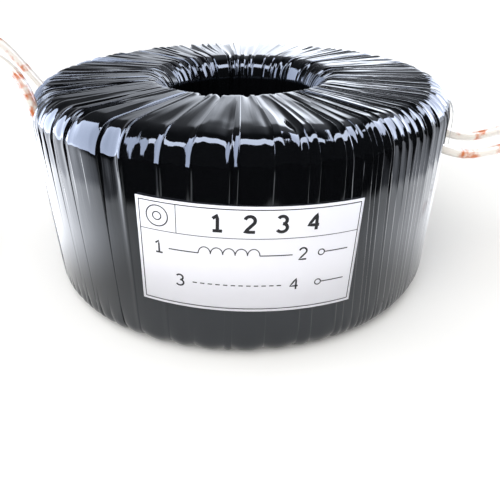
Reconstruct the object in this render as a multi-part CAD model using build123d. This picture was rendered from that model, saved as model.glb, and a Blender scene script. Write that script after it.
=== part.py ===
from build123d import *
from math import sin, cos, tan, pi, radians
import os

# Toroidal transformer: a strip-wound steel ring, insulated, with a primary all round it,
# two secondary banks of half a ring each, and a pleated film wrap over everything.
# Millimetres, +Z up along the ring's axis, origin on the surface that it stands on.

# Core
core_bore_radius = 54.6
core_outer_radius = 94.0
core_height = 78.6
core_edge = 0.7             # flat across the strip roll's edges

# Insulation and windings, as they are laid on the core
seat = 0.1                  # room between one layer and the next
board_thickness = 0.9       # end rings and bands round the bare core
board_edge = 0.6            # flat across an end ring's outer edges
primary_wall_build = 2.2    # one layer of wire on the outside
primary_bore_build = 4.6    # the same wire lies two deep in the hole
primary_end_build = 2.4
film_build = 0.85           # several turns of clear film between windings
secondary_wire = 3.1
secondary_bore_build = 6.0  # again two deep in the hole
secondary_turns = 25        # turns that show as ridges in each bank
secondary_valley = 0.9      # depth of the valley between two turns
bank_gap_angle = 9.0        # degrees left free between the two banks
layer_sides = 36            # films lie in flats round the ring

# Outer film wrap
wrap_wall_build = 1.4
wrap_bore_build = 3.3       # the turns pile up in the hole
pleat_rise = 1.1            # most that a turn's free edge stands over the next turn
front_edges = [238.6, 244.5, 253.0, 259.3, 266.9, 268.6, 276.0, 283.7, 286.4, 292.5]  # degrees
front_strengths = [1.0, 0.9, 0.9, 0.8, 0.6, 0.3, 0.7, 0.7, 0.8]     # share of the rise, for each turn
side_turns = 36             # on the sides and the back
side_least_strength = 0.4   # share of the rise that the flattest of them still has
side_unevenness = 0.2       # how far their widths depart from the mean
pleat_lean = 3.2            # degrees that an edge leans between foot and shoulder
lean_waves = 3              # times that the lean swings to and fro round the ring
scatter_step = 2.4          # radians from turn to turn, so that no pattern repeats
drift_step = 0.77           # radians from turn to turn of a slower drift
shoulder_radius = 13.5
foot_radius = 9.0
rim_radius = 12.5           # at the top of the hole
foot_rim_radius = 8.0       # at the bottom of the hole
foot_shares = [0.3, 0.3, 0.3]                   # share of the rise left round each bend
shoulder_shares = [1.0, 1.0, 1.0, 0.9, 0.8]
rim_shares = [0.5, 0.6, 0.6, 0.0]
foot_rim_shares = [0.0, 0.0]
flat_wall_level = 50.0      # below it the film lies flatter on the wall
flat_wall_share = 0.4
foot_trim = 0.6             # pleats pressed flat by the ring's own weight
bore_trim = 0.6             # pleats pressed back by the mounting hole's gauge

# Paper label on the front of the wall
label_width = 91.0
label_height = 48.1
label_thickness = 0.25
label_centre_height = 50.6
label_turn = 2.0            # degrees from the front, towards +X
label_tilt = -2.5           # degrees, left side higher

# Leads: the winding wire in a clear sleeve
lead_diameter = 4.4
wire_diameter = 3.0
tip_length = 12.0
arc_share = 0.45            # share of the shorter run that an arc may use
channel_room = 0.3          # room round a lead where it comes through the film

lead_radius = lead_diameter / 2
floor_level = lead_radius + 0.1

# How far each lead's start lies inside the crests of the wall, and its route from there
lead_depths = {
    "lead_left_front": 3.5,
    "lead_left_rear": 6.4,
    "lead_right_rear": 4.6,
    "lead_right_front": 4.7,
}
lead_routes = {
    "lead_left_front": [
        (-89.2, -48.4, 85.6), (-90.9, -48.8, 97.0), (-94.6, -45.4, 107.4), (-105.0, -39.2, 115.0),
        (-127.0, -34.5, 124.0), (-150.0, -33.0, 112.4), (-158.6, -31.6, 79.5),
        (-160.4, -26.0, 23.5), (-164.6, -5.0, floor_level), (-173.6, 21.6, floor_level),
        (-186.4, 46.2, floor_level),
    ],
    "lead_left_rear": [
        (-98.2, -9.3, 92.3), (-107.6, -5.8, 103.2), (-120.0, -2.2, 117.4), (-142.6, -0.6, 125.4),
        (-163.2, -2.0, 113.4), (-170.4, -3.8, 80.0), (-172.2, -6.0, 23.5),
        (-179.4, 14.0, floor_level), (-191.6, 38.8, floor_level), (-207.6, 60.8, floor_level),
    ],
    "lead_right_rear": [
        (95.9, -29.7, 79.8), (108.0, -29.0, 75.1), (121.0, -28.4, 76.2), (138.0, -28.0, 82.2),
        (156.8, -26.4, 75.2), (168.0, -23.6, 54.0), (171.6, -19.0, 23.5),
        (178.4, 1.6, floor_level), (190.0, 28.0, floor_level), (206.0, 51.6, floor_level),
    ],
    "lead_right_front": [
        (90.0, -44.2, 76.8), (100.0, -46.0, 72.9), (112.0, -46.3, 72.8), (128.0, -46.0, 77.6),
        (146.8, -44.8, 70.6), (157.6, -42.0, 51.2), (160.4, -37.6, 23.5),
        (165.6, -16.6, floor_level), (175.0, 10.4, floor_level), (188.4, 35.4, floor_level),
    ],
}

# Levels worked out from the core outwards
end_build = seat + board_thickness + seat + primary_end_build + 2 * seat + film_build
end_build += secondary_wire + 2 * seat + film_build + wrap_wall_build + pleat_rise
ring_height = core_height + 2 * end_build
mid_level = ring_height / 2


def grown(section, wall, bore, end):
    """A cross-section's hole radius, wall radius, half height and corner, one layer further out."""
    hole_radius, wall_radius, half_height, corner = section
    return (hole_radius - bore, wall_radius + wall, half_height + end, corner + end)


def corner_points(centre_r, centre_z, radius, start, steps):
    """Points along a quarter turn that begins at the angle start, in degrees."""
    points = []
    for step in range(steps + 1):
        angle = radians(start + 90 * step / steps)
        points.append((centre_r + radius * cos(angle), centre_z + radius * sin(angle)))
    return points


def layer_outline(section):
    """Outline (r, z) of a wound layer, with one flat across each corner."""
    hole_radius, wall_radius, half_height, corner = section
    low = mid_level - half_height
    high = mid_level + half_height
    points = corner_points(wall_radius - corner, low + corner, corner, -90, 1)
    points += corner_points(wall_radius - corner, high - corner, corner, 0, 1)
    points += corner_points(hole_radius + corner, high - corner, corner, 90, 1)
    points += corner_points(hole_radius + corner, low + corner, corner, 180, 1)
    return points


def station(outline, angles):
    """The outline's points in space, each turned about the axis by its own angle in degrees."""
    return [Vector(r * cos(radians(a)), r * sin(radians(a)), z) for (r, z), a in zip(outline, angles)]


def facet(points):
    """Flat face through three points, or nothing where two of them meet."""
    a, b, c = points
    if (b - a).cross(c - a).length < 1e-6:
        return []
    return [Face(Wire.make_polygon([a, b, c], close=True))]


def ring_solid(stations, closed):
    """Solid whose skin runs in flat facets from station to station round the ring."""
    count = len(stations[0])
    faces = []
    last = len(stations) if closed else len(stations) - 1
    for index in range(last):
        here = stations[index]
        there = stations[(index + 1) % len(stations)]
        for k in range(count):
            k_next = (k + 1) % count
            faces += facet((here[k], there[k], there[k_next]))
            faces += facet((here[k], there[k_next], here[k_next]))
    if not closed:
        faces.append(Face(Wire.make_polygon(stations[0], close=True)))
        faces.append(Face(Wire.make_polygon(stations[-1], close=True)))
    return Solid(Shell(faces))


def layer_body(section):
    """Everything inside a wound layer's skin, as a ring whose wall flats lie at the wall radius."""
    hole_radius, wall_radius, half_height, corner = section
    outline = layer_outline((hole_radius, wall_radius / cos(pi / layer_sides), half_height, corner))
    turns = [360 * side / layer_sides for side in range(layer_sides)]
    return ring_solid([station(outline, [turn] * len(outline)) for turn in turns], True)


# Steel core and the pressboard round it
core_low = mid_level - core_height / 2
core_high = mid_level + core_height / 2
band_inner_radius = core_bore_radius - seat - board_thickness
band_outer_radius = core_outer_radius + seat + board_thickness


def ring_profile(inner_radius, outer_radius, low, high):
    """Rectangle that turns into a plain round ring between two levels."""
    middle = Pos((inner_radius + outer_radius) / 2, (low + high) / 2)
    return Plane.XZ * middle * Rectangle(outer_radius - inner_radius, high - low)


def end_ring(low, outward):
    """Pressboard ring on one end of the core; outward is 1 on the top end and 0 on the bottom end."""
    profile = ring_profile(band_inner_radius, band_outer_radius, low, low + board_thickness)
    edges = profile.vertices().group_by(Axis.Z)[-outward]
    return revolve(chamfer(edges, board_edge), Axis.Z)


core_profile = ring_profile(core_bore_radius, core_outer_radius, core_low, core_high)
steel_core = revolve(chamfer(core_profile.vertices(), core_edge), Axis.Z)
core_band_inner = revolve(
    ring_profile(band_inner_radius, core_bore_radius - seat, core_low, core_high), Axis.Z
)
core_band_outer = revolve(
    ring_profile(core_outer_radius + seat, band_outer_radius, core_low, core_high), Axis.Z
)
core_end_ring_top = end_ring(core_high + seat, 1)
core_end_ring_bottom = end_ring(core_low - seat - board_thickness, 0)

# Cross-sections of each layer's two skins
bare = (band_inner_radius, band_outer_radius, core_height / 2 + seat + board_thickness, board_edge)
primary_inside = grown(bare, seat, seat, seat)
primary_outside = grown(primary_inside, primary_wall_build, primary_bore_build, primary_end_build)
primary_film_inside = grown(primary_outside, seat, seat, seat)
primary_film_outside = grown(primary_film_inside, film_build, film_build, film_build)
secondary_inside = grown(primary_film_outside, seat, seat, seat)
secondary_outside = grown(secondary_inside, secondary_wire, secondary_bore_build, secondary_wire)
secondary_film_inside = grown(secondary_outside, seat, seat, seat)
secondary_film_outside = grown(secondary_film_inside, film_build, film_build, film_build)
wrap_inside = grown(secondary_film_outside, seat, seat, seat)

primary_winding = layer_body(primary_outside) - layer_body(primary_inside)
primary_film = layer_body(primary_film_outside) - layer_body(primary_film_inside)
secondary_film = layer_body(secondary_film_outside) - layer_body(secondary_film_inside)


def secondary_bank(start_angle):
    """Half a ring of wire turns, with a ridge for each turn and a valley between turns."""
    crest = layer_outline(secondary_outside)
    valley_section = grown(secondary_outside, -secondary_valley, -secondary_valley, -secondary_valley)
    valley = layer_outline(valley_section)
    steps = 2 * secondary_turns
    span = 180 - bank_gap_angle
    stations = []
    for step in range(steps + 1):
        outline = crest if step % 2 else valley
        angle = start_angle + bank_gap_angle / 2 + span * step / steps
        stations.append(station(outline, [angle] * len(outline)))
    return ring_solid(stations, False) - layer_body(secondary_inside)


secondary_bank_front = secondary_bank(180)
secondary_bank_rear = secondary_bank(0)

# Outer wrap: turns of film that each overlap the next, with one free edge
wrap_wall_radius = wrap_inside[1] + wrap_wall_build + pleat_rise
bore_radius = wrap_inside[0] - wrap_bore_build


def tucked_bend(centre_r, centre_z, radius, start, insets):
    """Quarter turn from the angle start, in degrees, with each point set in by its own inset."""
    points = []
    for step, inset in enumerate(insets):
        angle = radians(start + 90 * step / (len(insets) - 1))
        reach = radius - inset
        points.append((centre_r + reach * cos(angle), centre_z + reach * sin(angle)))
    return points


def wrap_outline(strength):
    """Outline (r, z) of the wrap where a turn lies tucked in; a strength of 0 is its free edge."""
    rise = pleat_rise * strength
    hole_radius = bore_radius - bore_trim
    low = -foot_trim
    bends = [
        (wrap_wall_radius - foot_radius, low + foot_radius, foot_radius, foot_shares),
        (wrap_wall_radius - shoulder_radius, ring_height - shoulder_radius, shoulder_radius, shoulder_shares),
        (hole_radius + rim_radius, ring_height - rim_radius, rim_radius, rim_shares),
        (hole_radius + foot_rim_radius, low + foot_rim_radius, foot_rim_radius, foot_rim_shares),
    ]
    points = []
    for index, (centre_r, centre_z, radius, shares) in enumerate(bends):
        insets = [rise * share for share in shares]
        points += tucked_bend(centre_r, centre_z, radius, 90 * index - 90, insets)
        if index == 0:
            points.append((wrap_wall_radius - rise * flat_wall_share, flat_wall_level))
    return points


def wrap_edges():
    """Angle of each free edge, in degrees: the front's own, then the rest of the way round."""
    shares = []
    for turn in range(side_turns):
        shares.append(1 + side_unevenness * (sin(scatter_step * turn) + sin(drift_step * turn + 1)))
    edges = list(front_edges)
    left_over = 360 - (front_edges[-1] - front_edges[0])
    for share in shares:
        edges.append(edges[-1] + left_over * share / sum(shares))
    return edges


def wrap_strengths():
    """How strongly each turn is tucked in, as a share of the full rise."""
    strengths = list(front_strengths)
    for turn in range(side_turns):
        scattered = (1 + cos(scatter_step * turn)) / 2
        strengths.append(side_least_strength + (1 - side_least_strength) * scattered)
    return strengths


def edge_station(outline, edge_angle, lean):
    """One edge of a turn of film, leaning by an angle from foot to top."""
    return station(outline, [edge_angle + lean * (z / ring_height - 0.5) for r, z in outline])


def wrap_solid():
    """The pleated ring of film, trimmed flat under the foot and round in the hole."""
    edges = wrap_edges()
    strengths = wrap_strengths()
    turns = len(strengths)
    leans = [pleat_lean * sin(2 * pi * lean_waves * edge / turns) for edge in range(turns + 1)]
    stations = []
    for turn, strength in enumerate(strengths):
        stations.append(edge_station(wrap_outline(strength), edges[turn], leans[turn]))
        stations.append(edge_station(wrap_outline(0.0), edges[turn + 1], leans[turn + 1]))
    body = ring_solid(stations, True)
    body -= Pos(0, 0, -foot_trim) * Cylinder(2 * wrap_wall_radius, 2 * foot_trim)
    body -= Pos(0, 0, mid_level) * Cylinder(bore_radius, 2 * ring_height)
    return body - layer_body(wrap_inside)


outer_wrap = wrap_solid()

# Label: a sheet bent round the crests of the wrap
label_radius = wrap_wall_radius + seat / 2
label_sheet = Cylinder(label_radius + label_thickness, 2 * ring_height)
label_sheet -= Cylinder(label_radius, 2 * ring_height)
label_face_width = 2 * label_radius * sin(label_width / 2 / label_radius)
label_cutter = Rot(0, label_tilt, 0) * Pos(0, -label_radius, 0) * Box(
    label_face_width, label_radius, label_height
)
label = Pos(0, 0, label_centre_height) * Rot(0, 0, label_turn) * (label_sheet & label_cutter)

parts = {
    "steel_core": steel_core,
    "core_band_inner": core_band_inner,
    "core_band_outer": core_band_outer,
    "core_end_ring_top": core_end_ring_top,
    "core_end_ring_bottom": core_end_ring_bottom,
    "primary_winding": primary_winding,
    "primary_film": primary_film,
    "secondary_bank_front": secondary_bank_front,
    "secondary_bank_rear": secondary_bank_rear,
    "secondary_film": secondary_film,
    "outer_wrap": outer_wrap,
    "label": label,
}


def arc_radii(points):
    """Radius at each corner of a route: as large as the shorter of its two runs allows."""
    radii = []
    for before, corner, after in zip(points, points[1:], points[2:]):
        run_in = corner - before
        run_out = after - corner
        half_turn = radians(run_in.get_angle(run_out)) / 2
        radii.append(arc_share * min(run_in.length, run_out.length) / tan(half_turn))
    return radii


def round_bar(start, direction, radius, length):
    """Straight round bar from a point along a direction."""
    return Plane(origin=start, z_dir=direction) * Cylinder(
        radius, length, align=(Align.CENTER, Align.CENTER, Align.MIN)
    )


# Leads, each in a channel through the layers above its winding
channels = []
for name, route in lead_routes.items():
    start = Vector(*route[0])
    outwards = Vector(start.X, start.Y, 0)
    shift = outwards.normalized() * (wrap_wall_radius - lead_depths[name] - outwards.length)
    points = [Vector(*point) + shift for point in route]
    radii = arc_radii(points)
    path = FilletPolyline(*points, radius=radii)
    tube = sweep(Plane(origin=path @ 0, z_dir=path % 0) * Circle(lead_radius), path=path)
    parts[name] = tube
    parts[name + "_tip"] = round_bar(path @ 1, path % 1, wire_diameter / 2, tip_length)
    ideal = pi * lead_radius**2 * path.length
    print(name, "length", round(path.length, 1), "volume ratio", round(tube.volume / ideal, 4))
    print("  radii", [round(radius, 1) for radius in radii])
    print("  runs", [round((b - a).length, 1) for a, b in zip(points, points[1:])])
    first_run = points[1] - points[0]
    channels.append(round_bar(points[0], first_run, lead_radius + channel_room, first_run.length))

for carrier in ("secondary_bank_front", "secondary_bank_rear", "secondary_film", "outer_wrap"):
    parts[carrier] = parts[carrier] - channels

os.makedirs("parts", exist_ok=True)
for name, solid in parts.items():
    export_step(solid, "parts/" + name + ".step")
print("ring height", round(ring_height, 2), "wall radius", round(wrap_wall_radius, 2))
print("bore radius", round(bore_radius, 2))
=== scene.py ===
# %% [markdown]
# # A toroidal transformer, dressed for the camera
#
# The real object is a ring of wound steel strip with copper windings, wrapped all over in glossy
# black polyester film. The CAD model gives its sizes. Here its film gets every overlapping turn,
# its label gets printed rules, and its leads get their milky sleeves.
#
# The first cell loads the CAD model as a fixed frame. Nothing in it is moved or changed: each new
# piece is built in the same place and at the same size, and rides on it.

# %% Load the CAD frame
import math
import bpy
import numpy as np
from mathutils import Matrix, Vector


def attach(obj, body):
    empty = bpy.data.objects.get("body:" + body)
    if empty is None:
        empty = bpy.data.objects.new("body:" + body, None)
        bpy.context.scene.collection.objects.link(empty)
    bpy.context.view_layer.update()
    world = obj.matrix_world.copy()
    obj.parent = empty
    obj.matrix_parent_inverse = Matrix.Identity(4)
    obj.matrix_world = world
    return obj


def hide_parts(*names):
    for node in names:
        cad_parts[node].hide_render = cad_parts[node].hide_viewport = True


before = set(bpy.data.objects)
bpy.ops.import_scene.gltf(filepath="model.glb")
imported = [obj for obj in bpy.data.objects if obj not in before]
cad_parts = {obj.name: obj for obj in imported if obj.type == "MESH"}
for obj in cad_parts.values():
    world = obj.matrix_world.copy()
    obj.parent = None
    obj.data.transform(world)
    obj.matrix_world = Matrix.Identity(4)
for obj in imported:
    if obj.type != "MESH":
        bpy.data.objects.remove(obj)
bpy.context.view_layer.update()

MM = 0.001
print("CAD nodes:", sorted(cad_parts))

# %% [markdown]
# ## Helpers for colours, nodes and objects
#
# A colour is written as people pick it, in sRGB hex, but a shader adds up light, so it needs linear
# values. One function turns one into the other. A second one adds a shader node with its settings
# and its links, so that each material reads as a short list of nodes. Two more put a new object in
# the scene, which Blender otherwise keeps in its data without showing it.

# %% Colours
def linear(hex_colour):
    """Linear RGBA of an sRGB hex colour."""
    channels = [int(hex_colour[i:i + 2], 16) / 255 for i in (0, 2, 4)]
    channels = [c / 12.92 if c <= 0.04045 else ((c + 0.055) / 1.055) ** 2.4 for c in channels]
    return (*channels, 1.0)


film_colour = "08090b"
print("black film as linear:", [round(c, 4) for c in linear(film_colour)])

# %% Nodes and materials
def add_node(tree, kind, settings=None, links=None):
    """Adds a node. Settings name its properties or input sockets, and links name input sockets."""
    node = tree.nodes.new(kind)
    for name, value in (settings or {}).items():
        if isinstance(name, str) and hasattr(node, name):
            setattr(node, name, value)
        else:
            node.inputs[name].default_value = value
    for name, socket in (links or {}).items():
        tree.links.new(socket, node.inputs[name])
    return node


def new_material(name):
    """An empty node material and its tree."""
    material = bpy.data.materials.new(name)
    material.use_nodes = True
    material.node_tree.nodes.clear()
    return material, material.node_tree


def finish_material(tree, shader):
    """Joins a shader to the material's output."""
    add_node(tree, "ShaderNodeOutputMaterial", links={"Surface": shader})


print(len(bpy.data.materials), "materials came with the frame")

# %% Objects
def new_object(name, data):
    """An object for a mesh, a curve, a light or a camera, linked to the scene."""
    thing = bpy.data.objects.new(name, data)
    bpy.context.scene.collection.objects.link(thing)
    return thing


def mesh_object(name, vertices, faces, material):
    """A mesh object with one material."""
    mesh = bpy.data.meshes.new(name)
    mesh.from_pydata(vertices, [], faces)
    mesh.update()
    mesh.materials.append(material)
    return new_object(name, mesh)


# %% [markdown]
# ## The section of the ring
#
# Film is wound through the hole and round the outside, so each turn follows the ring's
# cross-section: up the wall, over the round shoulder, across the top, and down into the hole.
# The section is therefore the first thing to draw. A modifier could spin a curve into a ring, but
# every turn of film needs heights of its own, so the section is kept as plain rows of numbers: a
# closed line of points, with the direction in which the surface faces at each of them.

# %% Sizes of the wrap and its four bends, in millimetres
ring_height = 101.0
wall_radius = 105.0
hole_radius = 37.5
shoulder_radius = 13.5
foot_radius = 9.0
rim_radius = 12.5
low_rim_radius = 8.0


def bend(centre, radius, start, steps):
    """Quarter turn of the section: rows of (r, z, facing angle in degrees)."""
    rows = []
    for step in range(steps + 1):
        angle = start + 90 * step / steps
        a = math.radians(angle)
        rows.append((centre[0] + radius * math.cos(a), centre[1] + radius * math.sin(a), angle))
    return rows


bends = [
    bend((wall_radius - foot_radius, foot_radius), foot_radius, -90, 12),
    bend((wall_radius - shoulder_radius, ring_height - shoulder_radius), shoulder_radius, 0, 24),
    bend((hole_radius + rim_radius, ring_height - rim_radius), rim_radius, 90, 16),
    bend((hole_radius + low_rim_radius, low_rim_radius), low_rim_radius, 180, 6),
]
steps_after_bend = [32, 18, 16, 6]
print("bends at the foot, shoulder, rim and low rim, in rows:", [len(rows) for rows in bends])

# %% Rows of the whole section
def section_rows():
    """The bends with the straight runs between them, each run cut into short steps."""
    rows = []
    for index, part in enumerate(bends):
        rows += part
        r0, z0, angle = part[-1]
        r1, z1, _ = bends[(index + 1) % len(bends)][0]
        for step in range(1, steps_after_bend[index]):
            t = step / steps_after_bend[index]
            rows.append((r0 + (r1 - r0) * t, z0 + (z1 - z0) * t, angle))
    return np.array(rows)


section = section_rows()
row_r, row_z, row_facing = section.T
row_nr, row_nz = np.cos(np.radians(row_facing)), np.sin(np.radians(row_facing))
row_step = np.hypot(np.diff(row_r, append=row_r[0]), np.diff(row_z, append=row_z[0]))
row_s = np.concatenate([[0], np.cumsum(row_step)[:-1]])
print(len(section), "rows, section length", round(float(row_step.sum()), 1), "mm")

# %% [markdown]
# ## Places on the section
#
# Film behaves differently in different places: it folds at the shoulder, bunches up in the hole and
# lies flat low on the wall. Each such place is a smooth bump from 0 to 1 along the section, found by
# the way its surface faces. A bump fades out gently, so no fold begins or ends with a hard line.

# %% Places on the section, each with its width in millimetres
def place_on_section(facing, width):
    """How near each row is to a facing angle on the section, from 0 to 1."""
    middle = row_s[np.argmin(np.abs(row_facing - facing))]
    total = row_step.sum()
    away = np.abs(row_s - middle)
    away = np.minimum(away, total - away)
    return np.exp(-((away / width) ** 2))


near_shoulder = place_on_section(40, 13)
near_rim = place_on_section(140, 14)
near_foot = place_on_section(-50, 9)
in_hole = place_on_section(175, 30)
on_top = place_on_section(90, 26)
down_the_wall = place_on_section(12, 24)
print(int((near_shoulder > 0.5).sum()), "rows on the shoulder,", int((in_hole > 0.5).sum()), "in the hole")

# %% [markdown]
# ## Where each main turn of film ends
#
# A turn of film covers most of the turn before it and shows a strip of its own, up to one free
# edge. At the front the winder's hand left broad strips; on the sides and the back they are
# narrow. The front edges are listed by their angle round the ring, and the rest follow from slow
# and fast waves, so that their widths look uneven and the ring is the same each time it is built.
# The CAD model has the same edges. Part of the wall at the left was wound more calmly, so its
# turns stand up less.

# %% Free edges of the main turns, in degrees round the ring, and how far each one stands up
front_edges = [238.6, 244.5, 253.0, 259.3, 266.9, 268.6, 276.0, 283.7, 286.4, 292.5]
front_strengths = [0.7, 1.0, 0.9, 0.9, 0.8, 0.6, 0.3, 0.7, 0.7, 0.8]
front_turns = len(front_edges) - 1
side_turns = 36
side_unevenness = 0.2
scatter_step = 2.4
drift_step = 0.77
least_strength = 0.4
calm_wall = (200, 238)
calm_share = 0.35

front_span = front_edges[-1] - front_edges[0]
side_shares = [
    1 + side_unevenness * (math.sin(scatter_step * turn) + math.sin(drift_step * turn + 1))
    for turn in range(side_turns)
]
main_edges = list(front_edges)
main_strengths = list(front_strengths[1:])
for turn, side_share in enumerate(side_shares):
    main_edges.append(main_edges[-1] + (360 - front_span) * side_share / sum(side_shares))
    wave = (1 + math.cos(scatter_step * turn)) / 2
    main_strengths.append(least_strength + (1 - least_strength) * wave)
main_turns = len(main_edges) - 1
main_strengths[-1] = front_strengths[0]
calmness = [calm_share if calm_wall[0] < edge % 360 < calm_wall[1] else 1.0 for edge in main_edges[:-1]]
main_strengths = [strength * calmed for strength, calmed in zip(main_strengths, calmness)]
print(main_turns, "main turns, from", round(min(np.diff(main_edges)), 1), "to",
      round(max(np.diff(main_edges)), 1), "degrees wide")

# %% [markdown]
# ## Narrow turns inside each main turn
#
# Away from the front the film was laid in many close turns, about 3 to 5 mm apart, and closest on
# the wall at the right. Each main turn there is shared out between narrow ones of random widths.
# The random row has a seed, which gives the same numbers on every run.

# %% Narrow turns, as shares of the main turn that they lie in
narrow_rng = np.random.default_rng(7)
close_wall = (290, 350)
close_width, usual_width = 1.9, 2.9


def on_close_wall(turn):
    """Whether a main turn lies where the narrow turns are closest."""
    return close_wall[0] < main_edges[turn] < close_wall[1]


def narrow_shares(width, mean_width):
    """Where the free edges of the narrow turns lie inside a main turn, as shares of its width."""
    count = max(1, int(round(width / mean_width)))
    widths = narrow_rng.uniform(0.45, 1.55, count)
    return np.concatenate([[0], np.cumsum(widths) / widths.sum()])


shares_of = []
for turn in range(main_turns):
    if turn < front_turns:
        shares_of.append(np.array([0.0, 1.0]))
        continue
    mean_width = close_width if on_close_wall(turn) else usual_width
    shares_of.append(narrow_shares(main_edges[turn + 1] - main_edges[turn], mean_width))
print(sum(len(shares) - 1 for shares in shares_of), "turns of film show in all")

# %% [markdown]
# ## A smooth random field
#
# Tension leaves wrinkles that run along the film. They need random heights that change fast
# across the film and slowly along it. A grid of random numbers with smooth steps between them
# does that, and a seed for each use keeps the fields apart. Blender's own noise works in a
# shader, where it can only tilt the light; these wrinkles are real geometry.

# %% Smooth noise
noise_cells = 97


def smooth_noise(x, y, seed):
    """Random field between -1 and 1 that changes smoothly over one unit of x and of y."""
    grid = np.random.default_rng(seed).uniform(-1, 1, (noise_cells, noise_cells))
    x0, y0 = np.floor(x).astype(int), np.floor(y).astype(int)
    fx, fy = x - x0, y - y0
    fx, fy = fx * fx * (3 - 2 * fx), fy * fy * (3 - 2 * fy)
    x0, x1 = x0 % noise_cells, (x0 + 1) % noise_cells
    y0, y1 = y0 % noise_cells, (y0 + 1) % noise_cells
    low = grid[x0, y0] * (1 - fx) + grid[x1, y0] * fx
    high = grid[x0, y1] * (1 - fx) + grid[x1, y1] * fx
    return low * (1 - fy) + high * fy


sample = smooth_noise(np.linspace(0, 20, 200), np.zeros(200), 1)
print("noise from", round(float(sample.min()), 2), "to", round(float(sample.max()), 2))

# %% [markdown]
# ## The wrap's surface
#
# Each turn becomes a patch of columns that run along the film and rows that run across it. Its
# height over the turn below is lowest where the turn before it tucks it in, and highest at its
# free edge, which stands up most at the top of the wall. The heights are cut down from the CAD section
# and never added to it, so the wrap stays inside the size that was measured.
#
# The wrinkles are listed with what they are on the real film: how high they stand at each place,
# how wide they are across the film, and how long along it.

# %% Wrinkles of the film: height and the size of one wave across and along the film, in millimetres
along = row_s[None, :]
fold_height, fold_across, fold_along, fold_seed = 0.22 * near_shoulder, 60, 6.0, 11
wrinkles = [
    (0.24 * near_shoulder, 2.6, 9, 12),             # puckers where the film turns over the shoulder
    (0.03 + 0.34 * on_top, 4.4, 45, 13),            # rays that run in to the hole across the top
    (0.006, 1.1, 35, 14),                           # fine creases all over
    (1.0 * (in_hole + 0.8 * near_rim), 6.0, 45, 15),    # thick ridges where the turns bunch up
]
print(len(wrinkles), "kinds of wrinkle, and folds of up to", fold_height.max().round(2), "mm")

# %% Heights of one turn
main_rise = 0.30 + 0.70 * down_the_wall + 0.15 * on_top + 0.2 * near_rim
narrow_rise = 0.25 + 0.6 * near_shoulder + 0.9 * on_top + 0.5 * near_rim
tilt_rise = 0.2 + 2.4 * on_top + 0.9 * near_rim
least_narrow, most_narrow = 0.10, 0.42
narrow_lip = 0.9                # mm over which a narrow turn falls away at its edge
close_wall_factor = 1.6
lobe_height, lobe_slope = 1.3, 0.18
crest_room = 0.1                # mm by which the crests are let out again, up to the CAD section


def rounded_step(distance, width, power):
    """0 at a free edge, and 1 well inside it."""
    return 1 - np.exp(-((distance / width) ** power))


def main_heights(turn, main_share, main_width_mm):
    """The rise of a whole main turn: a long slope, and a step close to its free edge."""
    at_front = turn < front_turns
    slope_height = 0.15 if at_front else 0.45
    edge_height, edge_width = (0.95, 1.7) if at_front else (0.5, 1.9)
    rise = main_strengths[turn] * main_rise
    from_edge = (1 - main_share) * main_width_mm
    slope = slope_height * rise * (1 - main_share)
    return -slope - edge_height * rise * rounded_step(from_edge, edge_width, 2)


def turn_heights(turn, part, across, width_mm, main_width_mm):
    """Height in mm below the crest, for shares across a narrow turn (columns) and all rows."""
    rng = np.random.default_rng(1000 + 10 * turn + part)
    start, end = shares_of[turn][part:part + 2]
    share = across[:, None]
    height = main_heights(turn, start + (end - start) * share, main_width_mm)
    narrow = rng.uniform(least_narrow, most_narrow) * narrow_rise * calmness[turn]
    narrow = narrow * (close_wall_factor if on_close_wall(turn) else 1.0)
    height = height - 0.6 * narrow * (1 - share)
    height = height - 0.4 * narrow * rounded_step((1 - share) * width_mm, narrow_lip, 1.5)
    roll = smooth_noise(np.full(len(row_s), 3.7 * turn + 1.3 * part), row_s / 40, 31)
    height = height + 0.09 * width_mm * roll * tilt_rise * (share - 0.5)
    height = height - (2 * share - 1) ** 2 * min(lobe_height, lobe_slope * width_mm) * near_foot[None, :]
    x_mm = share * width_mm + 37.0 * turn + 11.0 * part
    height = height + fold_height * smooth_noise(x_mm / fold_across, along / fold_along, fold_seed + turn)
    for wrinkle_height, across_mm, along_mm, seed in wrinkles:
        height = height + wrinkle_height * smooth_noise(x_mm / across_mm, along / along_mm, seed)
    return np.minimum(height + crest_room, 0)


example = turn_heights(0, 0, np.linspace(0, 1, 9), 10.8, 10.8)
print("the first turn lies up to", round(float(-example.min()), 2), "mm below its crest")

# %% [markdown]
# ## Columns of every turn
#
# Now each turn gets its place round the ring. The winder can't keep every turn upright, so the free
# edges lean to and fro a little, by a wave that goes three times round the ring, as in the CAD
# model. The last few columns of a turn are set close together, since its free edge is sharp.
# Beside its place each point keeps where it is on the film, in millimetres, for the material.

# %% Angles of the free edges, and the columns of one turn
pleat_lean = 3.2
lean_waves = 3
column_step = 0.24          # degrees between two columns
edge_gap = 0.004            # share of a turn left between it and the next one


def edge_angles(index):
    """Angle of one main free edge at each row, with its own lean."""
    lean = pleat_lean * math.sin(2 * math.pi * lean_waves * index / main_turns)
    angle = main_edges[index % main_turns] + 360 * (index // main_turns)
    return angle + lean * (row_z / ring_height - 0.5)


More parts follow.
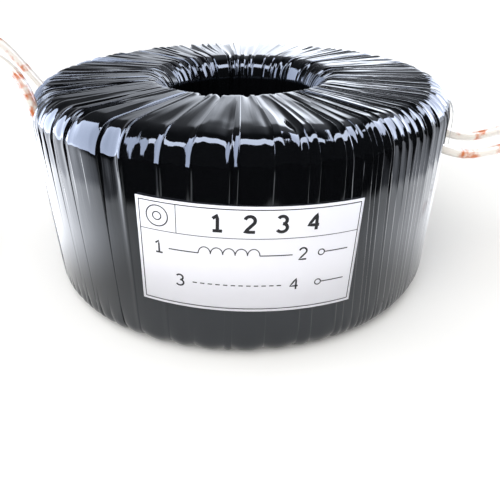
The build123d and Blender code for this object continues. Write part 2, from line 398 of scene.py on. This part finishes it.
def turn_columns(turn, part):
    """Points of one narrow turn as columns by rows by (x, y, z), and the film's own map in mm."""
    low, high = edge_angles(turn), edge_angles(turn + 1)
    start, end = shares_of[turn][part:part + 2]
    main_width = main_edges[turn + 1] - main_edges[turn]
    main_width_mm = math.radians(main_width) * wall_radius
    width_mm = main_width_mm * (end - start)
    count = max(6, int(main_width * (end - start) / column_step))
    across = np.linspace(0, 1, count)
    across = np.concatenate([across[:-1], [1 - 0.5 / count, 1 - 0.2 / count, 1]])
    heights = turn_heights(turn, part, across, width_mm, main_width_mm)
    inside = edge_gap + (1 - 2 * edge_gap) * across[:, None]
    angle = np.radians(low[None, :] + (high - low)[None, :] * (start + (end - start) * inside))
    r = row_r[None, :] + heights * row_nr[None, :]
    z = row_z[None, :] + heights * row_nz[None, :]
    points = np.stack([r * np.cos(angle), r * np.sin(angle), z], axis=2)
    film_x = np.repeat((across * width_mm + 31.0 * turn + 7.0 * part)[:, None], len(row_s), axis=1)
    film_y = np.repeat(row_s[None, :], len(across), axis=0)
    return points, np.stack([film_x, film_y], axis=2)


print("edges lean by up to", pleat_lean, "degrees from foot to shoulder")

# %% All the columns, once round the ring
columns, film_map, turn_start = [], [], []
for turn in range(main_turns):
    turn_start.append(sum(len(c) for c in columns))
    for part in range(len(shares_of[turn]) - 1):
        points, mapped = turn_columns(turn, part)
        columns.append(points)
        film_map.append(mapped)
columns, film_map = np.concatenate(columns), np.concatenate(film_map)
closed_columns = np.concatenate([columns, columns[:1]])
closed_map = np.concatenate([film_map, film_map[:1]])
print(len(columns), "columns, lowest point", round(float(columns[:, :, 2].min()), 3), "mm")

# %% [markdown]
# ## Meshes of the wrap
#
# A mesh of this size is made fastest by handing Blender whole arrays of numbers instead of one
# face after another. Each square of columns and rows becomes a face. The wrap is cut at free edges
# into four pieces, which keeps each of them light enough for a library part, and no cut shows,
# because it follows the edge of a turn.

# %% A mesh from columns and rows
def grid_mesh(name, points, mapped):
    """A mesh of columns by rows, closed along the rows, with the film's map in mm as its UV map."""
    n_col, n_row = points.shape[:2]
    vertices = points.reshape(-1, 3) * MM
    c, r = np.meshgrid(np.arange(n_col - 1), np.arange(n_row), indexing="ij")
    r_next = (r + 1) % n_row
    corners = [c * n_row + r, (c + 1) * n_row + r, (c + 1) * n_row + r_next, c * n_row + r_next]
    quads = np.stack(corners, axis=2).reshape(-1, 4)
    mesh = bpy.data.meshes.new(name)
    mesh.vertices.add(len(vertices))
    mesh.vertices.foreach_set("co", vertices.astype(np.float32).ravel())
    mesh.loops.add(quads.size)
    mesh.loops.foreach_set("vertex_index", quads.astype(np.int32).ravel())
    mesh.polygons.add(len(quads))
    mesh.polygons.foreach_set("loop_start", np.arange(0, quads.size, 4, dtype=np.int32))
    mesh.update(calc_edges=True)
    mesh.validate()
    uv = mesh.uv_layers.new(name="film_mm")
    uv.data.foreach_set("uv", mapped.reshape(-1, 2)[quads.ravel()].astype(np.float32).ravel())
    mesh.polygons.foreach_set("use_smooth", np.ones(len(quads), bool))
    return new_object(name, mesh)


pieces_of_wrap = 4
cuts = [turn_start[main_turns * k // pieces_of_wrap] for k in range(pieces_of_wrap)] + [len(columns)]
print("the wrap is cut at columns", cuts)

# %% Four pieces of the wrap
wraps = []
for k in range(pieces_of_wrap):
    span = slice(cuts[k], cuts[k + 1] + 1)
    part = grid_mesh(f"film_wrap_{k + 1}", closed_columns[span], closed_map[span])
    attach(part, "root")
    wraps.append(part)
    print(part.name, len(part.data.polygons) * 2, "triangles")
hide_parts("outer_wrap")

# %% [markdown]
# ## Black polyester film
#
# The wrap is polyester film, cast and stretched, so its surface is as smooth as glass and it
# mirrors the room. The eye sees almost none of its own black: it sees the lights, broken up by each
# wrinkle. So the material is a nearly black plastic of low roughness, with the typical IOR of
# polyester, a slight blue in its mirror image, and a bump for the ripples too fine for the mesh.

# %% Material of the film
film_roughness = 0.05
polyester_ior = 1.58
ripples_per_mm = 1.2        # one ripple is about 0.8 mm across
ripple_stretch = 0.05       # and twenty times as long, because tension draws it out
ripple_depth = 0.12

film, tree = new_material("black_polyester_film")
film_uv = add_node(tree, "ShaderNodeUVMap", {"uv_map": "film_mm"})
stretch = add_node(tree, "ShaderNodeMapping", {"Scale": (1.0, ripple_stretch, 1.0)},
                   {"Vector": film_uv.outputs["UV"]})
ripples = add_node(tree, "ShaderNodeTexNoise", {"Scale": ripples_per_mm, "Detail": 3.0, "Roughness": 0.5},
                   {"Vector": stretch.outputs["Vector"]})
bump = add_node(tree, "ShaderNodeBump", {"Strength": 0.2, "Distance": ripple_depth * MM},
                {"Height": ripples.outputs["Fac"]})
skin = add_node(tree, "ShaderNodeBsdfPrincipled",
                {"Base Color": linear(film_colour), "Roughness": film_roughness, "IOR": polyester_ior,
                 "Specular Tint": linear("eef5ff")},
                {"Normal": bump.outputs["Normal"]})
finish_material(tree, skin.outputs["BSDF"])
for part in wraps:
    part.data.materials.append(film)
print("film on", len(wraps), "pieces of the wrap")

# %% [markdown]
# ## A loose end of film
#
# The last turn of film is only pressed down, so its end springs off the shoulder at the right. It
# is a ribbon that follows the section and moves away from it on its way down. A Solidify modifier
# gives the flat ribbon the thickness of a few layers of film.

# %% Loose end of the film
loose_angle, loose_width, loose_thickness = 338.0, 4.0, 0.12
loose_lowest, loose_innermost, loose_facing = 72, 93, 80
loose_least_away, loose_most_away = 0.2, 1.7

on_shoulder = (row_z > loose_lowest) & (row_r > loose_innermost) & (row_facing < loose_facing)
loose_rows = [k for k in np.argsort(row_s) if on_shoulder[k]][::3]
loose_vertices = []
for index, k in enumerate(loose_rows):
    down = 1 - index / (len(loose_rows) - 1)
    away = loose_least_away + (loose_most_away - loose_least_away) * down ** 0.6
    for side_of_ribbon in (-0.5, 0.5):
        a = math.radians(loose_angle) + side_of_ribbon * loose_width / wall_radius
        r = (row_r[k] + away * row_nr[k]) * MM
        z = (row_z[k] + away * row_nz[k]) * MM
        loose_vertices.append((r * math.cos(a), r * math.sin(a), z))
loose_faces = [(k, k + 1, k + 3, k + 2) for k in range(0, 2 * len(loose_rows) - 2, 2)]
loose_end = mesh_object("film_loose_end", loose_vertices, loose_faces, film)
loose_end.modifiers.new("film thickness", "SOLIDIFY").thickness = loose_thickness * MM
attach(loose_end, "root")
print("loose end of film from", round(float(row_z[loose_rows[0]]), 1), "mm up")

# %% [markdown]
# ## Where the leads run
#
# Each lead is stiff copper wire, so it leaves the film in one direction, comes over in a wide bend
# and lies down on the floor. A route is a short list of points, the same that the CAD model has.
# The smooth line between them comes later, from the curve, and no point is added to round it.

# %% Routes of the leads, in millimetres
lead_radius = 2.2
floor_level = lead_radius + 0.1
lead_routes = {
    "lead_left_front": [
        (-89.2, -48.4, 85.6), (-90.9, -48.8, 97.0), (-94.6, -45.4, 107.4), (-105.0, -39.2, 115.0),
        (-127.0, -34.5, 124.0), (-150.0, -33.0, 112.4), (-158.6, -31.6, 79.5),
        (-160.4, -26.0, 23.5), (-164.6, -5.0, floor_level), (-173.6, 21.6, floor_level),
        (-186.4, 46.2, floor_level),
    ],
    "lead_left_rear": [
        (-98.2, -9.3, 92.3), (-107.6, -5.8, 103.2), (-120.0, -2.2, 117.4), (-142.6, -0.6, 125.4),
        (-163.2, -2.0, 113.4), (-170.4, -3.8, 80.0), (-172.2, -6.0, 23.5),
        (-179.4, 14.0, floor_level), (-191.6, 38.8, floor_level), (-207.6, 60.8, floor_level),
    ],
    "lead_right_rear": [
        (95.9, -29.7, 79.8), (108.0, -29.0, 75.1), (121.0, -28.4, 76.2), (138.0, -28.0, 82.2),
        (156.8, -26.4, 75.2), (168.0, -23.6, 54.0), (171.6, -19.0, 23.5),
        (178.4, 1.6, floor_level), (190.0, 28.0, floor_level), (206.0, 51.6, floor_level),
    ],
    "lead_right_front": [
        (90.0, -44.2, 76.8), (100.0, -46.0, 72.9), (112.0, -46.3, 72.8), (128.0, -46.0, 77.6),
        (146.8, -44.8, 70.6), (157.6, -42.0, 51.2), (160.4, -37.6, 23.5),
        (165.6, -16.6, floor_level), (175.0, 10.4, floor_level), (188.4, 35.4, floor_level),
    ],
}

# %% [markdown]
# ## Milky sleeve and dipped tin
#
# The sleeve is extruded and soft, as silicone is: milky and a little shiny. Where it clings to the wire the
# copper shows through it as warm patches. Real see-through plastic would take many more light
# bounces for a few pixels, so the patches are mixed into the sleeve's colour instead.
#
# The bare ends were dipped in molten tin, which sets as a bright, slightly uneven metal coat.

# %% Material of the sleeves
silicone_ior = 1.41
patches_per_metre = 130.0       # one patch of copper is about 8 mm long

sleeve, tree = new_material("milky_sleeve_over_copper")
spot = add_node(tree, "ShaderNodeTexCoord")
patches = add_node(tree, "ShaderNodeTexNoise", {"Scale": patches_per_metre, "Detail": 3.0, "Roughness": 0.55},
                   {"Vector": spot.outputs["Object"]})
clinging = add_node(tree, "ShaderNodeMapRange", {"From Min": 0.50, "From Max": 0.62},
                    {"Value": patches.outputs["Fac"]})
tint = add_node(tree, "ShaderNodeMix", {"data_type": "RGBA"}, {"Factor": clinging.outputs["Result"]})
tint.inputs[6].default_value = linear("ece6de")
tint.inputs[7].default_value = linear("c9713f")
skin = add_node(tree, "ShaderNodeBsdfPrincipled", {"Roughness": 0.3, "IOR": silicone_ior, "Coat Weight": 0.6},
                {"Base Color": tint.outputs[2]})
finish_material(tree, skin.outputs["BSDF"])
print("material", sleeve.name)

# %% Material of the tips
tin, tree = new_material("dipped_tin")
skin = add_node(tree, "ShaderNodeBsdfPrincipled",
                {"Base Color": linear("d9d9d4"), "Metallic": 1.0, "Roughness": 0.3})
finish_material(tree, skin.outputs["BSDF"])
print("material", tin.name)

# %% [markdown]
# ## The leads
#
# A wire bends in one smooth line, so each lead is a NURBS curve with its route's points as control
# points: the curve stays near them and turns gently between them. Its round bevel is the sleeve.
# The end points are made part of the curve, or it would stop short of them.

# %% Leads as curves
def lead_curve(name, route):
    """A round tube along one smooth curve through the middle of the route's runs."""
    curve = bpy.data.curves.new(name + "_sleeve", "CURVE")
    curve.dimensions = "3D"
    spline = curve.splines.new("NURBS")
    spline.points.add(len(route) - 1)
    for point, place in zip(spline.points, route):
        point.co = (place[0] * MM, place[1] * MM, place[2] * MM, 1)
    spline.order_u = 3
    spline.use_endpoint_u = True
    spline.resolution_u = 10
    curve.bevel_depth = lead_radius * MM
    curve.bevel_resolution = 6
    curve.use_fill_caps = True
    curve.materials.append(sleeve)
    return new_object(name + "_sleeve", curve)


for name, route in lead_routes.items():
    lead = lead_curve(name, route)
    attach(lead, "root")
    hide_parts(name)
    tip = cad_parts[name + "_tip"]
    tip.data.materials.clear()
    tip.data.materials.append(tin)
    # The far part of a lead would show in the glossy wall as a pale smudge
    lead.visible_glossy = False
    print(lead.name, "through", len(route), "points")

# %% [markdown]
# ## The label
#
# A paper label is a flat sheet until it is pressed on the wall. So it is drawn flat first, in
# millimetres across and up from its centre, and one function bends each point round the ring.
# The sheet was stuck on a little askew, with its left side higher.
#
# Label paper is bleached and coated with clay, which makes it bright, faintly cool and smooth but
# not glossy. Its fibres lie under the coat and are far too fine to show.

# %% From the flat label to the wall
label_width, label_height, label_thickness = 91.0, 48.1, 0.25
label_centre_height = 50.6
label_room = 0.05
label_radius = wall_radius + label_room + label_thickness
label_turn, label_tilt = 2.0, 2.4


def on_label(across, up, lift):
    """Place in metres of a point on the label, given in mm from its centre and above the paper."""
    tilt = math.radians(label_tilt)
    x = across * math.cos(tilt) + up * math.sin(tilt)
    z = label_centre_height - across * math.sin(tilt) + up * math.cos(tilt)
    angle = math.radians(270 + label_turn) + x / label_radius
    r = label_radius + lift
    return (r * math.cos(angle) * MM, r * math.sin(angle) * MM, z * MM)


print("label sheet bent round a radius of", label_radius, "mm")

# %% Sheet and its coated paper
label_columns = 60
paper, tree = new_material("coated_label_paper")
skin = add_node(tree, "ShaderNodeBsdfPrincipled",
                {"Base Color": linear("ececf3"), "Roughness": 0.42, "IOR": 1.5})
finish_material(tree, skin.outputs["BSDF"])

sheet_vertices = []
for column in range(label_columns + 1):
    across = label_width * (column / label_columns - 0.5)
    sheet_vertices += [on_label(across, -label_height / 2, 0), on_label(across, label_height / 2, 0)]
sheet_faces = [(k, k + 2, k + 3, k + 1) for k in range(0, 2 * label_columns, 2)]
sheet_of_paper = mesh_object("label_sheet", sheet_vertices, sheet_faces, paper)
for polygon in sheet_of_paper.data.polygons:
    polygon.use_smooth = True
thickness = sheet_of_paper.modifiers.new("paper thickness", "SOLIDIFY")
thickness.thickness = label_thickness * MM
thickness.offset = -1
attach(sheet_of_paper, "root")
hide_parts("label")
print("label sheet of", label_columns, "strips")

# %% [markdown]
# ## Printed lines
#
# The label is printed with a border, a header and a winding diagram, kept to plain numbers and
# signs. The ink is laid on in the same way as the paper, as thin strips a hair above it. A long
# line is cut into short steps first, because a straight strip would cut through the bent paper.

# %% Pen for the ink
ink_lift = 0.02
ink_step = 1.2
ink_vertices, ink_faces = [], []


def ink_line(points, width):
    """Lays a line of ink through points in mm on the label, cut short enough to follow its bend."""
    dense = []
    for (x0, y0), (x1, y1) in zip(points, points[1:]):
        steps = max(1, int(math.hypot(x1 - x0, y1 - y0) / ink_step))
        dense += [(x0 + (x1 - x0) * k / steps, y0 + (y1 - y0) * k / steps) for k in range(steps)]
    dense.append(points[-1])
    first = len(ink_vertices)
    for index, (x, y) in enumerate(dense):
        before, after = dense[max(index - 1, 0)], dense[min(index + 1, len(dense) - 1)]
        dx, dy = after[0] - before[0], after[1] - before[1]
        size = math.hypot(dx, dy) or 1
        side_x, side_y = -dy / size * width / 2, dx / size * width / 2
        ink_vertices.append(on_label(x - side_x, y - side_y, ink_lift))
        ink_vertices.append(on_label(x + side_x, y + side_y, ink_lift))
    for index in range(len(dense) - 1):
        k = first + 2 * index
        ink_faces.append((k, k + 2, k + 3, k + 1))


def arc(x, y, radius_x, radius_y, start, end, steps=16):
    """Points along part of an ellipse, between two angles in degrees."""
    angles = [math.radians(start + (end - start) * k / steps) for k in range(steps + 1)]
    return [(x + radius_x * math.cos(a), y + radius_y * math.sin(a)) for a in angles]


print("ink lies", ink_lift, "mm above the paper")

# %% Figures and the winding sign
# Each figure is drawn in a box 0.6 wide and 1 high
figures = {
    "1": [[(0.08, 0.78), (0.32, 1.0), (0.32, 0.0)], [(0.08, 0.0), (0.56, 0.0)]],
    "2": [arc(0.29, 0.72, 0.25, 0.28, 165, -35) + [(0.04, 0.0), (0.56, 0.0)]],
    "3": [arc(0.27, 0.75, 0.23, 0.25, 150, -80), arc(0.27, 0.27, 0.27, 0.27, 85, -150)],
    "4": [[(0.44, 0.0), (0.44, 1.0), (0.02, 0.32), (0.58, 0.32)]],
}
figure_breadth = 1.15
border_line, rule_line, sign_line = 0.42, 0.3, 0.5
header_size, header_line = 6.6, 1.35
number_size, number_line = 5.2, 0.75


def ink_figure(figure, x, y, height, width):
    """Prints one figure with its lower left corner at x and y."""
    for stroke in figures[figure]:
        ink_line([(x + px * height * figure_breadth, y + py * height) for px, py in stroke], width)


def ink_circle(x, y, radius, steps):
    """Prints one ring."""
    ink_line(arc(x, y, radius, radius, 0, 360, steps), sign_line)


def ink_coil(x, y, length, loops):
    """Prints the sign for a winding: a row of half circles."""
    radius = length / loops / 2
    for loop in range(loops):
        ink_line(arc(x + radius * (2 * loop + 1), y, radius, radius * 1.25, 180, 0), border_line)


print("figures:", sorted(figures))

# %% Border and header
margin = 1.35
border_x, border_y = label_width / 2 - margin, label_height / 2 - margin
header_y = border_y - 12.2
cell_x = -border_x + 15.0
for side_of_label in (-1, 1):
    ink_line([(-border_x, side_of_label * border_y), (border_x, side_of_label * border_y)], border_line)
    ink_line([(side_of_label * border_x, -border_y), (side_of_label * border_x, border_y)], border_line)
ink_line([(-border_x, header_y), (border_x, header_y)], rule_line)
ink_line([(cell_x, header_y), (cell_x, border_y)], rule_line)
ink_circle(cell_x - 7.6, header_y + 6.3, 4.4, 40)
ink_circle(cell_x - 7.6, header_y + 6.3, 1.7, 24)
for index, figure in enumerate("1234"):
    ink_figure(figure, -15.5 + 12.4 * index, header_y + 3.0, header_size, header_line)
print(len(ink_faces), "patches of ink in the border and header")

# %% Winding diagram
upper_y, lower_y = 3.0, -11.2
number_drop = 2.4
ink_figure("1", -38.5, upper_y - number_drop, number_size, number_line)
ink_line([(-32.5, upper_y), (-20.5, upper_y)], sign_line)
ink_coil(-20.5, upper_y, 24.0, 5)
ink_line([(3.5, upper_y), (16.5, upper_y)], sign_line)
ink_figure("2", 19.0, upper_y - number_drop, number_size, number_line)
ink_figure("3", -30.0, lower_y - number_drop, number_size, number_line)
for dash in range(12):
    ink_line([(-23.0 + 3.1 * dash, lower_y), (-21.2 + 3.1 * dash, lower_y)], sign_line)
ink_figure("4", 16.5, lower_y - number_drop, number_size, number_line)
for row_y in (upper_y, lower_y):
    ink_line([(30.0, row_y), (40.5, row_y)], sign_line)
    ink_circle(28.6, row_y, 1.3, 20)
print(len(ink_faces), "patches of ink in all")

# %% [markdown]
# ## Printing ink
#
# Label ink is carbon black in a little binder. It soaks into the paper's coat and dries matt, so
# it looks like a very dark grey that takes no clear reflection.

# %% Ink on the label
ink, tree = new_material("black_printing_ink")
skin = add_node(tree, "ShaderNodeBsdfPrincipled", {"Base Color": linear("17171b"), "Roughness": 0.5})
finish_material(tree, skin.outputs["BSDF"])
ink_piece = mesh_object("label_ink", ink_vertices, ink_faces, ink)
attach(ink_piece, "root")
print("piece", ink_piece.name)

# %% [markdown]
# ## What the film hides
#
# The layers under the film are in the CAD model and never show, but they are real pieces. Each
# gets the finish of its real material, so that the model can be opened up and still look right:
# cold-rolled steel strip, pressboard squeezed between rollers, enamelled wire and clear film.
# Their real grain is a few hundredths of a millimetre, so it is drawn about 4 mm coarse.

# %% Materials of the inner layers
# Name, colour, metallic, roughness and IOR, from typical values of each material
hidden_finishes = {
    "core_steel": ("rolled_core_steel", "8d9096", 1.0, 0.42, 1.5),
    "pressboard": ("calendered_pressboard", "c3ad85", 0.0, 0.7, 1.5),
    "enamelled_wire": ("enamelled_copper_wire", "b5602c", 0.0, 0.22, 1.6),
    "clear_film": ("clear_polyester_film", "ded9c6", 0.0, 0.15, 1.64),
}
grains_per_metre = 260.0
grain_depth = 0.1

finishes = {}
for slot, (name, colour, metallic, roughness, ior) in hidden_finishes.items():
    finishes[slot], tree = new_material(name)
    spot = add_node(tree, "ShaderNodeTexCoord")
    grain = add_node(tree, "ShaderNodeTexNoise", {"Scale": grains_per_metre, "Detail": 2.0},
                     {"Vector": spot.outputs["Object"]})
    relief = add_node(tree, "ShaderNodeBump", {"Strength": 0.3, "Distance": grain_depth * MM},
                      {"Height": grain.outputs["Fac"]})
    skin = add_node(tree, "ShaderNodeBsdfPrincipled",
                    {"Base Color": linear(colour), "Metallic": metallic, "Roughness": roughness, "IOR": ior},
                    {"Normal": relief.outputs["Normal"]})
    finish_material(tree, skin.outputs["BSDF"])
print("finishes of the inner layers:", sorted(finishes))

# %% Which layer has which
hidden_layers = {
    "core_steel": ["steel_core"],
    "pressboard": ["core_band_inner", "core_band_outer", "core_end_ring_top", "core_end_ring_bottom"],
    "enamelled_wire": ["primary_winding", "secondary_bank_front", "secondary_bank_rear"],
    "clear_film": ["primary_film", "secondary_film"],
}
for slot, layers in hidden_layers.items():
    for layer in layers:
        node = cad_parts[layer]
        node.data.materials.clear()
        node.data.materials.append(finishes[slot])
    print(finishes[slot].name, "on", layers)

# %% [markdown]
# ## The floor
#
# The ring stands on a sweep of white paper, which is matt and takes its shadow softly. A glossy
# black wall shows whatever stands round it, so what the paper does in a mirror image matters as
# much as what it does to the eye. A Light Path node tells the two apart. In the wall's mirror the
# paper has a painted glow at the left and right, an emission in place of paper lit by the windows,
# and from about 15 cm beyond the ring it is painted near-black, a painted dark reflection of the
# dim room round a small studio.

# %% Material of the paper sweep
# Distances in metres from the ring's axis, where the painted dark reflection and the painted glow begin and
# end
painted_dark_from, painted_dark_by = 0.250, 0.275
painted_glow_from, painted_glow_by = 0.095, 0.17
painted_left_glow, painted_right_glow = 3.0, 1.25
painted_glow_gone_at, painted_glow_full_at = -0.17, -0.03
smooth = {"interpolation_type": "SMOOTHSTEP"}
times = {"operation": "MULTIPLY"}

sweep, tree = new_material("white_paper_sweep")
place = add_node(tree, "ShaderNodeTexCoord")
axes = add_node(tree, "ShaderNodeSeparateXYZ", links={"Vector": place.outputs["Object"]})
far = add_node(tree, "ShaderNodeVectorMath", {"operation": "LENGTH"}, {0: place.outputs["Object"]})
# Painted dark reflection: past this distance the paper is painted near-black, for glossy rays only, in place
# of the dim room
beyond = add_node(tree, "ShaderNodeMapRange", {**smooth, "From Min": painted_dark_from, "From Max": painted_dark_by},
                  {"Value": far.outputs["Value"]})
rays = add_node(tree, "ShaderNodeLightPath")
painted_dark_in_mirror = add_node(tree, "ShaderNodeMath", times,
                    {0: beyond.outputs["Result"], 1: rays.outputs["Is Glossy Ray"]})
# The paper's own white to the eye, and the painted near-black that the wall mirrors beyond the paper
tone = add_node(tree, "ShaderNodeMix", {"data_type": "RGBA"}, {"Factor": painted_dark_in_mirror.outputs["Value"]})
tone.inputs[6].default_value = linear("fdfcf9")
tone.inputs[7].default_value = linear("0c0c0d")
# Painted glow: an emission that only mirrors see, strongest at the left and right and fading out towards the
# front, in place of paper lit by windows
left = add_node(tree, "ShaderNodeMapRange",
                {**smooth, "From Min": -painted_glow_from, "From Max": -painted_glow_by, "To Max": painted_left_glow},
                {"Value": axes.outputs["X"]})
right = add_node(tree, "ShaderNodeMapRange",
                 {**smooth, "From Min": painted_glow_from, "From Max": painted_glow_by, "To Max": painted_right_glow},
                 {"Value": axes.outputs["X"]})
sides = add_node(tree, "ShaderNodeMath", {"operation": "ADD"},
                 {0: left.outputs["Result"], 1: right.outputs["Result"]})
front_fade = add_node(tree, "ShaderNodeMapRange", {**smooth, "From Min": painted_glow_gone_at, "From Max": painted_glow_full_at},
                      {"Value": axes.outputs["Y"]})
glow = add_node(tree, "ShaderNodeMath", times, {0: sides.outputs["Value"], 1: front_fade.outputs["Result"]})
painted_glow_in_mirror = add_node(tree, "ShaderNodeMath", times,
                     {0: glow.outputs["Value"], 1: rays.outputs["Is Glossy Ray"]})
painted_paper_glow = add_node(tree, "ShaderNodeEmission", {"Color": linear("f2f6ff")},
                      {"Strength": painted_glow_in_mirror.outputs["Value"]})
paper_skin = add_node(tree, "ShaderNodeBsdfDiffuse", links={"Color": tone.outputs[2]})
lit = add_node(tree, "ShaderNodeAddShader",
               links={0: paper_skin.outputs["BSDF"], 1: painted_paper_glow.outputs["Emission"]})
finish_material(tree, lit.outputs["Shader"])
print("paper sweep of", len(tree.nodes), "nodes")

# %% Floor
side = 3.0
floor = mesh_object("floor", [(-side, -side, 0), (side, -side, 0), (side, side, 0), (-side, side, 0)],
                    [(0, 1, 2, 3)], sweep)
print("floor", 2 * side, "m wide")

# %% [markdown]
# ## The room
#
# What lies behind the ring shows in its top, which faces away from the camera. A low band of
# daylight there makes the bright rays on the top, stronger to the right, and the room above it is
# dim, so that they stay apart. The camera itself sees plain white: that comes from the Is Camera
# Ray output, and adds no light to the object.

# %% World
behind_from, behind_by = 0.2, 0.6
band_top, band_bottom = 0.40, 0.18
above_band, in_band = 0.22, 2.1
right_from, right_by = -0.35, 0.35
left_share, right_share = 0.25, 2.0
dim_room = 0.03

world = bpy.data.worlds.new("studio")
bpy.context.scene.world = world
world.use_nodes = True
tree = world.node_tree
tree.nodes.clear()
direction = add_node(tree, "ShaderNodeTexCoord")
axes = add_node(tree, "ShaderNodeSeparateXYZ", links={"Vector": direction.outputs["Generated"]})
towards_back = add_node(tree, "ShaderNodeMapRange",
                        {**smooth, "From Min": behind_from, "From Max": behind_by},
                        {"Value": axes.outputs["Y"]})
low_band = add_node(tree, "ShaderNodeMapRange",
                    {**smooth, "From Min": band_top, "From Max": band_bottom,
                     "To Min": above_band, "To Max": in_band},
                    {"Value": axes.outputs["Z"]})
behind = add_node(tree, "ShaderNodeMath", times,
                  {0: towards_back.outputs["Result"], 1: low_band.outputs["Result"]})
to_right = add_node(tree, "ShaderNodeMapRange",
                    {**smooth, "From Min": right_from, "From Max": right_by,
                     "To Min": left_share, "To Max": right_share},
                    {"Value": axes.outputs["X"]})
shaded = add_node(tree, "ShaderNodeMath", times, {0: behind.outputs["Value"], 1: to_right.outputs["Result"]})
level = add_node(tree, "ShaderNodeMath", {"operation": "ADD", 1: dim_room}, {0: shaded.outputs["Value"]})
room = add_node(tree, "ShaderNodeBackground", {"Color": linear("e6ecf7")},
                {"Strength": level.outputs["Value"]})
white = add_node(tree, "ShaderNodeBackground", {"Color": (1, 1, 1, 1), "Strength": 1.0})
rays = add_node(tree, "ShaderNodeLightPath")
seen = add_node(tree, "ShaderNodeMixShader",
                links={0: rays.outputs["Is Camera Ray"], 1: room.outputs["Background"],
                       2: white.outputs["Background"]})
add_node(tree, "ShaderNodeOutputWorld", links={"Surface": seen.outputs["Shader"]})
print("world", world.name, "of", len(tree.nodes), "nodes")

# %% [markdown]
# ## The lights
#
# Two kinds of light share the work. Matt things, the label, the sleeves and the floor, are lit by
# two very wide suns, which give the soft even light of a studio tent and which no mirror shows.
# The glossy film is drawn by softboxes, large even rectangles as bright as windows: one at the
# left makes the broad slate field on the wall, one overhead makes the line along the shoulder, and
# one at the right makes the bright ridges in the hole. They only show in reflections.

# %% Softboxes and suns
def aim_light(thing, towards):
    """Turns a light so that it shines along a direction."""
    thing.rotation_mode = "QUATERNION"
    thing.rotation_quaternion = Vector(towards).to_track_quat("-Z", "Y")


def softbox(name, place, aim, size, radiance, colour):
    """A rectangular light of an even brightness, as a window or a lamp with a diffuser is."""
    light = bpy.data.lights.new(name, "AREA")
    light.shape = "RECTANGLE"
    light.size, light.size_y = size
    light.energy = radiance * math.pi * size[0] * size[1]
    light.color = linear(colour)[:3]
    thing = new_object(name, light)
    thing.location = place
    aim_light(thing, np.array(aim) - np.array(place))
    thing.visible_camera = False
    thing.visible_diffuse = False


def soft_sun(name, towards, strength, spread):
    """Even light from a wide part of the sky, for matt surfaces only."""
    light = bpy.data.lights.new(name, "SUN")
    light.energy = strength
    light.angle = math.radians(spread)
    thing = new_object(name, light)
    aim_light(thing, towards)
    thing.visible_glossy = False


soft_sun("sky_above", (0.25, 0.35, -0.9), 2.75, 80)
soft_sun("sky_front", (0.2, 0.85, -0.45), 1.35, 80)
softbox("window_left", (-0.85, -0.03, 0.60), (0, -0.03, 0.60), (1.05, 1.2), 9.0, "dbe6ff")
softbox("lamp_overhead", (0.0, -0.30, 1.0), (0, -0.05, 0.1), (1.3, 0.30), 14.0, "eaf0ff")
softbox("window_right", (0.85, 0.28, 0.62), (0, 0, 0.1), (0.75, 0.85), 10.0, "e2eaff")
print("lights:", [light.name for light in bpy.data.lights])

# %% [markdown]
# ## The camera
#
# The view is a close one from the front, looking down on the ring by about 31 degrees. A lens as
# long as the sensor is wide gives the strong perspective that makes the wall narrow downwards. The
# Standard view transform shows each colour about as it was written.

# %% Camera
camera_place = (1.67, -269.75, 155.39)
camera_down, camera_roll = 31.05, -0.011
lens = sensor = 36

camera_data = bpy.data.cameras.new("camera")
camera_data.lens = lens
camera_data.sensor_width = sensor
camera_data.clip_start = 0.01
camera = new_object("camera", camera_data)
camera.location = [c * MM for c in camera_place]
camera.rotation_euler = (math.radians(90 - camera_down), 0, camera_roll)
bpy.context.scene.camera = camera
bpy.context.scene.view_settings.view_transform = "Standard"
print("camera at", camera_place, "mm")
